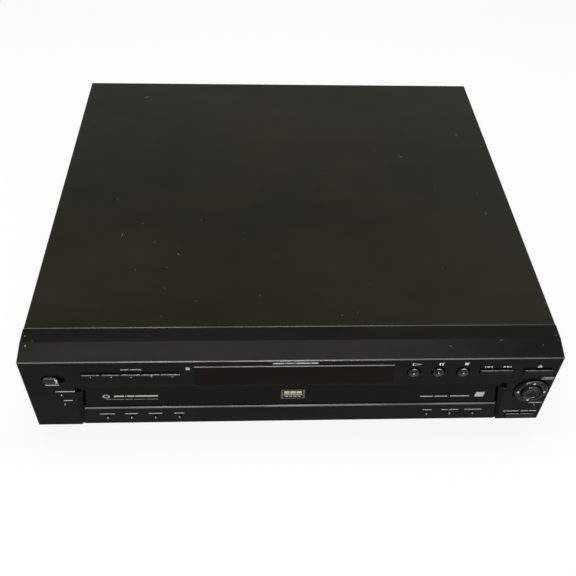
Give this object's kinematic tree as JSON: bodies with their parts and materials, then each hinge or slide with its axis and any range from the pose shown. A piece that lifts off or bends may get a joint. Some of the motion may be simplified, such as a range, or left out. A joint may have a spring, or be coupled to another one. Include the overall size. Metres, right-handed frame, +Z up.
{
  "type": "carousel disc changer",
  "caption": "Wide black disc changer: sliding tray with a geared carousel of disc wells, tilting disc reader, sprung front keys and sockets at the back.",
  "frame": {"origin": "middle of the overall box, on the surface that the feet stand on", "axes": "+X to the right seen from the front, +Y from front to back, +Z up"},
  "size_m": [0.4326, 0.408, 0.102],
  "materials": {
    "case_paint": "semi-matt black paint with fine grain",
    "plain_steel": "zinc plated sheet",
    "panel_plastic": "fine satin black",
    "key_plastic": "satin black",
    "smoked_window": "smoked and polished",
    "tube_glass": "clear with grey electrodes",
    "board_green": "lacquered circuit board",
    "switch_plastic": "matt",
    "socket_plastic": "matt",
    "foot_plastic": "matt",
    "mechanism_grey": "matt grey",
    "tray_plastic": "satin black",
    "carousel_plastic": "fine satin dark grey",
    "gear_plastic": "natural white",
    "motor_steel": "drawn steel",
    "belt_rubber": "ground rubber",
    "rod_steel": "ground and polished",
    "screw_steel": "blackened"
  },
  "bodies": {
    "chassis": {"top_cover": "case_paint", "cover_screws": "screw_steel", "base_pan": "plain_steel", "feet": "foot_plastic", "rear_panel": "case_paint", "front_panel": "panel_plastic", "display_window": "smoked_window", "display_tube": "tube_glass", "front_board": "board_green", "tact_switches": "switch_plastic", "main_board": "board_green", "power_board": "board_green", "phono_sockets": "socket_plastic", "signal_sockets": "socket_plastic", "power_inlet": "socket_plastic", "mechanism_base": "mechanism_grey", "loading_motor": "motor_steel", "loading_belt": "belt_rubber", "clamp_bridge": "mechanism_grey"},
    "tray": {"tray": "tray_plastic", "tray_front": "panel_plastic", "table_motor": "motor_steel"},
    "carousel": {"carousel": "carousel_plastic", "carousel_cap": "carousel_plastic"},
    "table_gear": {"table_gear": "gear_plastic"},
    "rack_gear": {"rack_gear": "gear_plastic"},
    "pulley_gear": {"pulley_gear": "gear_plastic"},
    "motor_pulley": {"motor_pulley": "gear_plastic"},
    "clamper": {"clamper": "mechanism_grey"},
    "reader": {"optical_frame": "mechanism_grey", "guide_rods": "rod_steel"},
    "disc_spindle": {"disc_spindle": "tray_plastic"},
    "pickup_sled": {"pickup_sled": "mechanism_grey"},
    "power_key": {"power_key": "key_plastic"},
    "open_close_key": {"open_close_key": "key_plastic"},
    "surround_key": {"surround_key": "key_plastic"},
    "night_key": {"night_key": "key_plastic"},
    "display_key": {"display_key": "key_plastic"},
    "play_key": {"play_key": "key_plastic"},
    "pause_key": {"pause_key": "key_plastic"},
    "stop_key": {"stop_key": "key_plastic"},
    "exchange_key": {"exchange_key": "key_plastic"},
    "disc_skip_key": {"disc_skip_key": "key_plastic"},
    "enter_key": {"enter_key": "key_plastic"},
    "shuffle_key": {"shuffle_key": "key_plastic"},
    "repeat_key": {"repeat_key": "key_plastic"},
    "one_all_key": {"one_all_key": "key_plastic"},
    "load_key": {"load_key": "key_plastic"},
    "title_key": {"title_key": "key_plastic"},
    "menu_key": {"menu_key": "key_plastic"},
    "return_key": {"return_key": "key_plastic"},
    "disc_key_1": {"disc_key_1": "key_plastic"},
    "disc_key_2": {"disc_key_2": "key_plastic"},
    "disc_key_3": {"disc_key_3": "key_plastic"},
    "disc_key_4": {"disc_key_4": "key_plastic"},
    "disc_key_5": {"disc_key_5": "key_plastic"},
    "skip_rocker": {"skip_rocker": "key_plastic"},
    "cursor_pivot": {"cursor_pivot": "key_plastic"},
    "cursor_ring": {"cursor_ring": "key_plastic"}
  },
  "joints": [
    {"name": "tray_slide", "type": "slide", "parent": "chassis", "child": "tray", "axis": [0, -1, 0], "range_m": [0, 0.236]},
    {"name": "carousel_turn", "type": "hinge", "parent": "tray", "child": "carousel", "pos_m": [0, -0.019, 0.046], "axis": [0, 0, 1], "continuous": true},
    {"name": "table_gear_turn", "type": "hinge", "parent": "tray", "child": "table_gear", "pos_m": [-0.12445, -0.14345, 0.044], "axis": [0, 0, 1], "continuous": true},
    {"name": "rack_gear_turn", "type": "hinge", "parent": "chassis", "child": "rack_gear", "pos_m": [-0.124, -0.15, 0.036], "axis": [0, 0, 1], "range_deg": [-5, 574.7]},
    {"name": "pulley_gear_turn", "type": "hinge", "parent": "chassis", "child": "pulley_gear", "pos_m": [-0.085, -0.15, 0.036], "axis": [0, 0, 1], "range_deg": [-919.5, 5]},
    {"name": "motor_pulley_turn", "type": "hinge", "parent": "chassis", "child": "motor_pulley", "pos_m": [-0.04, -0.15, 0.037], "axis": [0, 0, 1], "range_deg": [-2277.8, 5]},
    {"name": "clamper_spin", "type": "hinge", "parent": "chassis", "child": "clamper", "pos_m": [0, 0.084, 0.06], "axis": [0, 0, 1], "continuous": true},
    {"name": "reader_lift", "type": "hinge", "parent": "chassis", "child": "reader", "pos_m": [0, -0.008, 0.032], "axis": [1, 0, 0], "range_deg": [0, 11]},
    {"name": "spindle_spin", "type": "hinge", "parent": "reader", "child": "disc_spindle", "pos_m": [0, 0.08479, 0.02721], "axis": [0, 0.1908, 0.9816], "continuous": true},
    {"name": "sled_slide", "type": "slide", "parent": "reader", "child": "pickup_sled", "axis": [0, -0.9816, 0.1908], "range_m": [0, 0.035]},
    {"name": "power_key_press", "type": "slide", "parent": "chassis", "child": "power_key", "axis": [0, 1, 0], "range_m": [0, 0.0006], "stiffness_N_per_m": 400},
    {"name": "open_close_key_press", "type": "slide", "parent": "chassis", "child": "open_close_key", "axis": [0, 1, 0], "range_m": [0, 0.0006], "stiffness_N_per_m": 400},
    {"name": "surround_key_press", "type": "slide", "parent": "chassis", "child": "surround_key", "axis": [0, 1, 0], "range_m": [0, 0.0006], "stiffness_N_per_m": 400},
    {"name": "night_key_press", "type": "slide", "parent": "chassis", "child": "night_key", "axis": [0, 1, 0], "range_m": [0, 0.0006], "stiffness_N_per_m": 400},
    {"name": "display_key_press", "type": "slide", "parent": "chassis", "child": "display_key", "axis": [0, 1, 0], "range_m": [0, 0.0006], "stiffness_N_per_m": 400},
    {"name": "play_key_press", "type": "slide", "parent": "chassis", "child": "play_key", "axis": [0, 1, 0], "range_m": [0, 0.0006], "stiffness_N_per_m": 400},
    {"name": "pause_key_press", "type": "slide", "parent": "chassis", "child": "pause_key", "axis": [0, 1, 0], "range_m": [0, 0.0006], "stiffness_N_per_m": 400},
    {"name": "stop_key_press", "type": "slide", "parent": "chassis", "child": "stop_key", "axis": [0, 1, 0], "range_m": [0, 0.0006], "stiffness_N_per_m": 400},
    {"name": "exchange_key_press", "type": "slide", "parent": "chassis", "child": "exchange_key", "axis": [0, 1, 0], "range_m": [0, 0.0006], "stiffness_N_per_m": 400},
    {"name": "disc_skip_key_press", "type": "slide", "parent": "chassis", "child": "disc_skip_key", "axis": [0, 1, 0], "range_m": [0, 0.0006], "stiffness_N_per_m": 400},
    {"name": "enter_key_press", "type": "slide", "parent": "chassis", "child": "enter_key", "axis": [0, 1, 0], "range_m": [0, 0.0006], "stiffness_N_per_m": 400},
    {"name": "shuffle_key_press", "type": "slide", "parent": "chassis", "child": "shuffle_key", "axis": [0, 1, 0], "range_m": [0, 0.0006], "stiffness_N_per_m": 400},
    {"name": "repeat_key_press", "type": "slide", "parent": "chassis", "child": "repeat_key", "axis": [0, 1, 0], "range_m": [0, 0.0006], "stiffness_N_per_m": 400},
    {"name": "one_all_key_press", "type": "slide", "parent": "chassis", "child": "one_all_key", "axis": [0, 1, 0], "range_m": [0, 0.0006], "stiffness_N_per_m": 400},
    {"name": "load_key_press", "type": "slide", "parent": "chassis", "child": "load_key", "axis": [0, 1, 0], "range_m": [0, 0.0006], "stiffness_N_per_m": 400},
    {"name": "title_key_press", "type": "slide", "parent": "chassis", "child": "title_key", "axis": [0, 1, 0], "range_m": [0, 0.0006], "stiffness_N_per_m": 400},
    {"name": "menu_key_press", "type": "slide", "parent": "chassis", "child": "menu_key", "axis": [0, 1, 0], "range_m": [0, 0.0006], "stiffness_N_per_m": 400},
    {"name": "return_key_press", "type": "slide", "parent": "chassis", "child": "return_key", "axis": [0, 1, 0], "range_m": [0, 0.0006], "stiffness_N_per_m": 400},
    {"name": "disc_key_1_press", "type": "slide", "parent": "chassis", "child": "disc_key_1", "axis": [0, 1, 0], "range_m": [0, 0.0006], "stiffness_N_per_m": 400},
    {"name": "disc_key_2_press", "type": "slide", "parent": "chassis", "child": "disc_key_2", "axis": [0, 1, 0], "range_m": [0, 0.0006], "stiffness_N_per_m": 400},
    {"name": "disc_key_3_press", "type": "slide", "parent": "chassis", "child": "disc_key_3", "axis": [0, 1, 0], "range_m": [0, 0.0006], "stiffness_N_per_m": 400},
    {"name": "disc_key_4_press", "type": "slide", "parent": "chassis", "child": "disc_key_4", "axis": [0, 1, 0], "range_m": [0, 0.0006], "stiffness_N_per_m": 400},
    {"name": "disc_key_5_press", "type": "slide", "parent": "chassis", "child": "disc_key_5", "axis": [0, 1, 0], "range_m": [0, 0.0006], "stiffness_N_per_m": 400},
    {"name": "skip_rocker_tip", "type": "hinge", "parent": "chassis", "child": "skip_rocker", "pos_m": [0.1628, -0.197, 0.0806], "axis": [0, 0, 1], "range_deg": [-2.5, 2.5], "stiffness_Nm_per_rad": 0.06},
    {"name": "cursor_up_down", "type": "hinge", "parent": "chassis", "child": "cursor_pivot", "pos_m": [0.198, -0.196, 0.0546], "axis": [1, 0, 0], "range_deg": [-2.5, 2.5], "stiffness_Nm_per_rad": 0.08},
    {"name": "cursor_left_right", "type": "hinge", "parent": "cursor_pivot", "child": "cursor_ring", "pos_m": [0.198, -0.196, 0.0546], "axis": [0, 0, 1], "range_deg": [-2.5, 2.5], "stiffness_Nm_per_rad": 0.08}
  ],
  "couplings": [
    {"joint": "rack_gear_turn", "follows": "tray_slide", "rad_per_m": 41.667},
    {"joint": "pulley_gear_turn", "follows": "tray_slide", "rad_per_m": -66.667},
    {"joint": "motor_pulley_turn", "follows": "tray_slide", "rad_per_m": -165.15},
    {"joint": "table_gear_turn", "follows": "carousel_turn", "ratio": -7.8}
  ]
}
